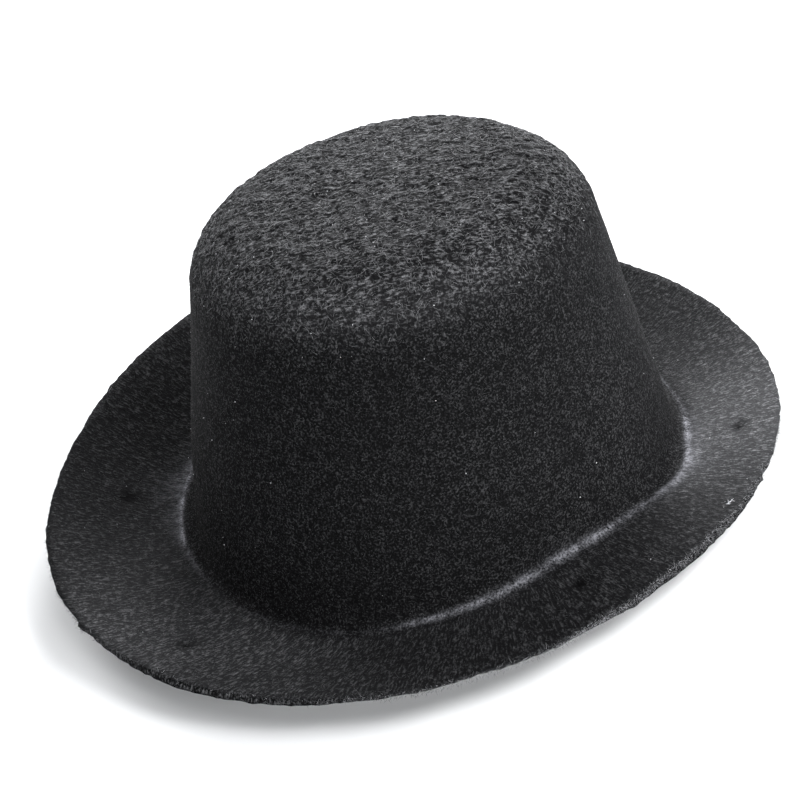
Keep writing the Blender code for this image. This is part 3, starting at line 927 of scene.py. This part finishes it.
def mix(tree, share, first, second):
    """The first colour, with a share of the second in its place."""
    node = tree.nodes.new("ShaderNodeMix")
    node.data_type = "RGBA"
    for index, source in ((0, share), (6, first), (7, second)):
        feed(tree, node.inputs[index], source)
    return node.outputs[2]


def maths(tree, operation, *values):
    """One sum on two or three values."""
    node = tree.nodes.new("ShaderNodeMath")
    node.operation = operation
    for socket, source in zip(node.inputs, values):
        feed(tree, socket, source)
    return node.outputs[0]


def two_tone(tree, source, low, high, dark, pale):
    """Dark below low, pale above high, and blended between."""
    node = tree.nodes.new("ShaderNodeValToRGB")
    ends = node.color_ramp.elements
    ends[0].position = low
    ends[1].position = high
    ends[0].color = dark
    ends[1].color = pale
    tree.links.new(source, node.inputs["Fac"])
    return node.outputs["Color"]


def add_bumps(tree, shader, layers):
    """Lays bumps over one another, each from its height and its depth."""
    normal = None
    for height, depth in layers:
        bump = tree.nodes.new("ShaderNodeBump")
        bump.inputs["Strength"].default_value = 1.0
        bump.inputs["Distance"].default_value = depth
        tree.links.new(height, bump.inputs["Height"])
        if normal:
            tree.links.new(normal, bump.inputs["Normal"])
        normal = bump.outputs["Normal"]
    tree.links.new(normal, shader.inputs["Normal"])


# ---------------------------------------------------------------- materials


# How many grains of each speckle go into a metre, and how long the stretched ones are.
TANGLE, MOTTLES, TUFTS, STREAKS = 1300, 420, 1150, 1700
TUFT_LENGTH, STREAK_LENGTH = 2.8, 4.5
FIBRE_ROUGH = 0.65
STREAKS_ON_BRIM, TUFTS_ON_TOP, MOTTLE_SHARE = 0.65, 0.75, 0.25
BRIGHT_START, BRIGHT_FULL, BRIGHT_POWER = 0.47, 0.64, 1.6
DARK_GROUND = (0.0022, 0.0022, 0.0024, 1)
# The ground where fluff and painted light lift it.
DUST_AND_PAINTED_LIGHT_GROUND = (0.065, 0.065, 0.068, 1)
PALE_FIBRE = (0.30, 0.30, 0.31, 1)
WORN_FIBRE = (0.34, 0.34, 0.37, 1)
CUT_FIBRE = (0.06, 0.06, 0.063, 1)
WAVE_RADIANS = 20  # what a wave texture of scale 1 turns through in a unit


def fibre_material(name, tone):
    """One loose hair or grain of lint: a plain tone with a soft gloss."""
    material, _, shader = new_material(name, 0.6, 0.3)
    shader.inputs["Base Color"].default_value = grey(tone, 1.04)
    return material


def felt_material():
    """Matted fibres: a fine speckle, combed outward on the brim, paler where it is worn.

    The speckle is a tangle that gives way to tufts along the nap on the top and to streaks on the
    brim, with a coarser mottle in it. Where it is bright, by its power and the paleness, pale
    fibres cover the dark ground.
    """
    material, tree, shader = new_material("black_needle_felt", 0.9, 0.05)
    place = piece_place(tree)
    nap = attribute(tree, "nap")
    tangle = speckle(tree, place, TANGLE, 2, FIBRE_ROUGH)
    mottle = speckle(tree, place, MOTTLES, 3, FIBRE_ROUGH)
    tuft = speckle(tree, place, TUFTS, 2, FIBRE_ROUGH, (TUFT_LENGTH, 1, 1), NAP_TURN)
    grain = attribute(tree, "grain", "Vector")
    streak = speckle(tree, grain, STREAKS, 2, FIBRE_ROUGH, (1, 1, STREAK_LENGTH))
    brim = attribute(tree, "brim")
    fleck = tangle
    for laid, part, most in ((streak, brim, STREAKS_ON_BRIM), (tuft, nap, TUFTS_ON_TOP)):
        share = maths(tree, "MULTIPLY", part, most)
        kept = maths(tree, "MULTIPLY", fleck, maths(tree, "SUBTRACT", 1.0, share))
        fleck = maths(tree, "ADD", kept, maths(tree, "MULTIPLY", laid, share))
    fine = maths(tree, "MULTIPLY", fleck, 1 - MOTTLE_SHARE)
    fleck = maths(tree, "ADD", fine, maths(tree, "MULTIPLY", mottle, MOTTLE_SHARE))

    bright = maths(tree, "POWER", ramp(tree, fleck, BRIGHT_START, BRIGHT_FULL), BRIGHT_POWER)
    # The ground's lift and the paleness carry painted light and shade beside fluff and the felt's own tone.
    ground = mix(tree, attribute(tree, "dust_and_painted_light"), DARK_GROUND, DUST_AND_PAINTED_LIGHT_GROUND)
    base = mix(tree, maths(tree, "MULTIPLY", bright, attribute(tree, "pale")), ground, PALE_FIBRE)
    worn = maths(tree, "MULTIPLY", attribute(tree, "worn"), ramp(tree, fleck, 0.36, 0.62))
    base = mix(tree, worn, base, WORN_FIBRE)
    cut = maths(tree, "MULTIPLY", attribute(tree, "cut"), ramp(tree, tangle, 0.42, 0.66))
    base = mix(tree, cut, base, CUT_FIBRE)
    tree.links.new(base, shader.inputs["Base Color"])

    deeper_on_top = maths(tree, "ADD", maths(tree, "MULTIPLY", nap, 2.2), 1.0)
    lumps = maths(tree, "MULTIPLY", mottle, deeper_on_top)
    add_bumps(tree, shader, ((lumps, 0.0006), (fleck, 0.0008)))
    return material


def ribbon_material(name, ribs, rows):
    """Black ribbon: ribs across it and rows of thread along it, as fine waves in its own weave, with painted
    shade in the rib grooves over a dye mottle.
    """
    material, tree, shader = new_material(name, 0.42, 0.35)
    shader.inputs["Sheen Weight"].default_value = 0.15
    weave = attribute(tree, "weave", "Vector")
    waves = []
    for direction, count in (("X", ribs), ("Y", rows)):
        wave = tree.nodes.new("ShaderNodeTexWave")
        wave.bands_direction = direction
        wave.wave_profile = "SIN"
        wave.inputs["Scale"].default_value = count / WAVE_RADIANS * 2 * np.pi
        wave.inputs["Distortion"].default_value = 0.15
        tree.links.new(weave, wave.inputs["Vector"])
        waves.append(wave.outputs["Fac"])
    add_bumps(tree, shader, zip(waves, (0.00012, 0.00003)))
    dye = speckle(tree, piece_place(tree), 160, 3)
    # Painted shade: darker in the rib grooves, over the dye's mottle.
    groove_shade_and_dye = maths(tree, "MULTIPLY_ADD", waves[0], 0.22, dye)
    shades = two_tone(tree, groove_shade_and_dye, 0.42, 0.82, (0.010, 0.010, 0.011, 1), (0.028, 0.028, 0.031, 1))
    tree.links.new(shades, shader.inputs["Base Color"])
    return material


def thread_material():
    """Spun thread: a fine dark and light speckle of its fibres."""
    material, tree, shader = new_material("spun_thread", 0.6, 0.5)
    spun = speckle(tree, piece_place(tree), 2500)
    shades = two_tone(tree, spun, 0.4, 0.6, (0.012, 0.012, 0.014, 1), (0.045, 0.045, 0.05, 1))
    tree.links.new(shades, shader.inputs["Base Color"])
    return material


def floor_material():
    """A matt white floor."""
    material, _, shader = new_material("pale_floor", 1.0, 0.0)
    shader.inputs["Base Color"].default_value = grey(0.93)
    return material


# ---------------------------------------------------------------- stage and camera


# Each lamp's degrees round the hat, degrees above the floor, and power in watts.
LAMPS = {
    "back_low": (45, 20, 49),
    "right_low": (90, 20, 25),
    "left_low": (225, 20, 9),
    "front_low": (270, 20, 11),
    "side_high": (315, 45, 25),
    "front_high": (270, 65, 5),
}
LAMP_DISTANCE, LAMP_SIZE = 1.6, 0.8
LAMP_COLOUR = (0.975, 0.985, 1.0)
LAMP_AIM = Vector((0, 0, 0.05))
FLOOR_SIZE = 1.9
ROOM_COLOUR, ROOM_STRENGTH = (0.7, 0.85, 1.0, 1), 0.03

CAMERA_AZIMUTH = -32.39
CAMERA_ELEVATION = 34.63
CAMERA_ROLL = -10.85
CAMERA_DISTANCE = 4.038  # in brim half lengths
CAMERA_SIDESTEP = (-0.0547, 0.1289)  # right and up, in brim half lengths
CAMERA_LENS = 68.51
CAMERA_SENSOR = 36.0
AIM_HEIGHT = 0.00735


def stage():
    """A wide pale floor, a dim room that looks white behind the hat, and soft round lamps."""
    bpy.ops.mesh.primitive_plane_add(size=FLOOR_SIZE, location=(0, 0, 0))
    floor = bpy.context.object
    floor.name = "floor"
    floor.data.materials.append(floor_material())
    world = bpy.data.worlds.new("studio")
    bpy.context.scene.world = world
    world.use_nodes = True
    nodes = world.node_tree.nodes
    links = world.node_tree.links
    dim = nodes["Background"]
    dim.inputs["Color"].default_value = ROOM_COLOUR
    dim.inputs["Strength"].default_value = ROOM_STRENGTH
    white = nodes.new("ShaderNodeBackground")
    white.inputs["Color"].default_value = grey(1.0)
    seen = nodes.new("ShaderNodeMixShader")
    links.new(nodes.new("ShaderNodeLightPath").outputs["Is Camera Ray"], seen.inputs[0])
    links.new(dim.outputs[0], seen.inputs[1])
    links.new(white.outputs[0], seen.inputs[2])
    links.new(seen.outputs[0], nodes["World Output"].inputs["Surface"])
    for name, (turn, rise, power) in LAMPS.items():
        add_lamp(name, *np.radians([turn, rise]), power)


def add_lamp(name, turn, rise, power):
    """A soft round lamp, turned round the hat and raised by two angles, that faces the hat."""
    data = bpy.data.lights.new(name, "AREA")
    data.color = LAMP_COLOUR
    data.shape = "DISK"
    data.size = LAMP_SIZE
    data.energy = power
    lamp = bpy.data.objects.new(name, data)
    bpy.context.scene.collection.objects.link(lamp)
    way = Vector((np.cos(turn) * np.cos(rise), np.sin(turn) * np.cos(rise), np.sin(rise)))
    lamp.location = LAMP_DISTANCE * way
    lamp.rotation_euler = (LAMP_AIM - lamp.location).to_track_quat("-Z", "Y").to_euler()


def camera():
    """A camera that looks down at the hat from its front left, rolled a little and stepped aside."""
    turn, tilt, roll = np.radians([CAMERA_AZIMUTH, CAMERA_ELEVATION, CAMERA_ROLL])
    back = np.array([np.sin(turn) * np.cos(tilt), -np.cos(turn) * np.cos(tilt), np.sin(tilt)])
    right = np.array([np.cos(turn), np.sin(turn), 0.0])
    up = np.cross(back, right)
    rolled_right = np.cos(roll) * right + np.sin(roll) * up
    rolled_up = -np.sin(roll) * right + np.cos(roll) * up
    place = CAMERA_DISTANCE * back + CAMERA_SIDESTEP[0] * rolled_right + CAMERA_SIDESTEP[1] * rolled_up
    place = place * BRIM_HALF_LENGTH + [0, 0, AIM_HEIGHT]
    data = bpy.data.cameras.new("camera")
    data.lens = CAMERA_LENS
    data.sensor_width = CAMERA_SENSOR
    data.clip_start = 0.01
    eye = bpy.data.objects.new("camera", data)
    bpy.context.scene.collection.objects.link(eye)
    axes = Matrix(np.column_stack([rolled_right, rolled_up, back]).tolist())
    eye.matrix_world = Matrix.Translation(place.tolist()) @ axes.to_4x4()
    bpy.context.scene.camera = eye


# ---------------------------------------------------------------- the hat


bpy.context.scene.view_settings.view_transform = "Standard"
camera()
stage()

skin = felt_skin()
felt = felt_body(skin)
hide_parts("felt_body")
on_brim = ease(skin["past_fold"], 0.0, 0.002)
on_top = skin["top"] * (1 - on_brim)
on_wall = (1 - on_top) * (1 - on_brim)
pale_edge = profile_round(skin["angle"][0], *PALE_EDGE)

# Each call says how many hairs there are, where, how long and thick, their lift and their tone.
fuzz = [
    # The hairs on the top are paler than those on the wall and brim, partly as painted sheen.
    felt_fuzz(skin, "top_fuzz", 10000, on_top**3, 0.0032, 0.00006, lift=9, tone=0.24, seed=61),
    felt_fuzz(skin, "wall_fuzz", 9500, on_wall, 0.0019, 0.00005, lift=9, tone=0.07, seed=62),
    felt_fuzz(skin, "brim_fuzz", 9500, on_brim, 0.0019, 0.00005, lift=7, tone=0.09, seed=63, comb=1.2),
    felt_fuzz(skin, "standing_fuzz", 2600, on_top, 0.0026, 0.00003, lift=38, tone=0.20, seed=66),
    felt_fuzz(skin, "wall_nap", 7000, on_wall, 0.0011, 0.00006, lift=40, tone=0.09, seed=69),
    edge_fuzz(skin, "edge_fuzz", 5200, 1.0, 0.0017, tone=0.06, seed=64),
    edge_fuzz(skin, "pale_edge_fuzz", 2600, pale_edge, 0.0020, tone=0.55, seed=67),
    lint_tuft(skin, degrees=289.7, share=0.89, count=16, tone=0.85, seed=68),
    lint_grains(skin, count=170, tone=0.75, seed=65),
]
for piece in (felt, *fuzz):
    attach(piece, "root")

band = sweatband_ribbon()
stitches = row_of_stitches()
tab = woven_tab()
loops = [bow_loop("bow_loop_left", -1), bow_loop("bow_loop_right", 1)]
knot = bow_knot()
for piece, node, slot in (
    (band, "sweatband", "tape"),
    (stitches, "sweatband_thread", "thread"),
    (tab, "joint_tab", "tape"),
    *((piece, "back_bow", "ribbon") for piece in (*loops, knot)),
):
    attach(piece, "root")
    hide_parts(node)
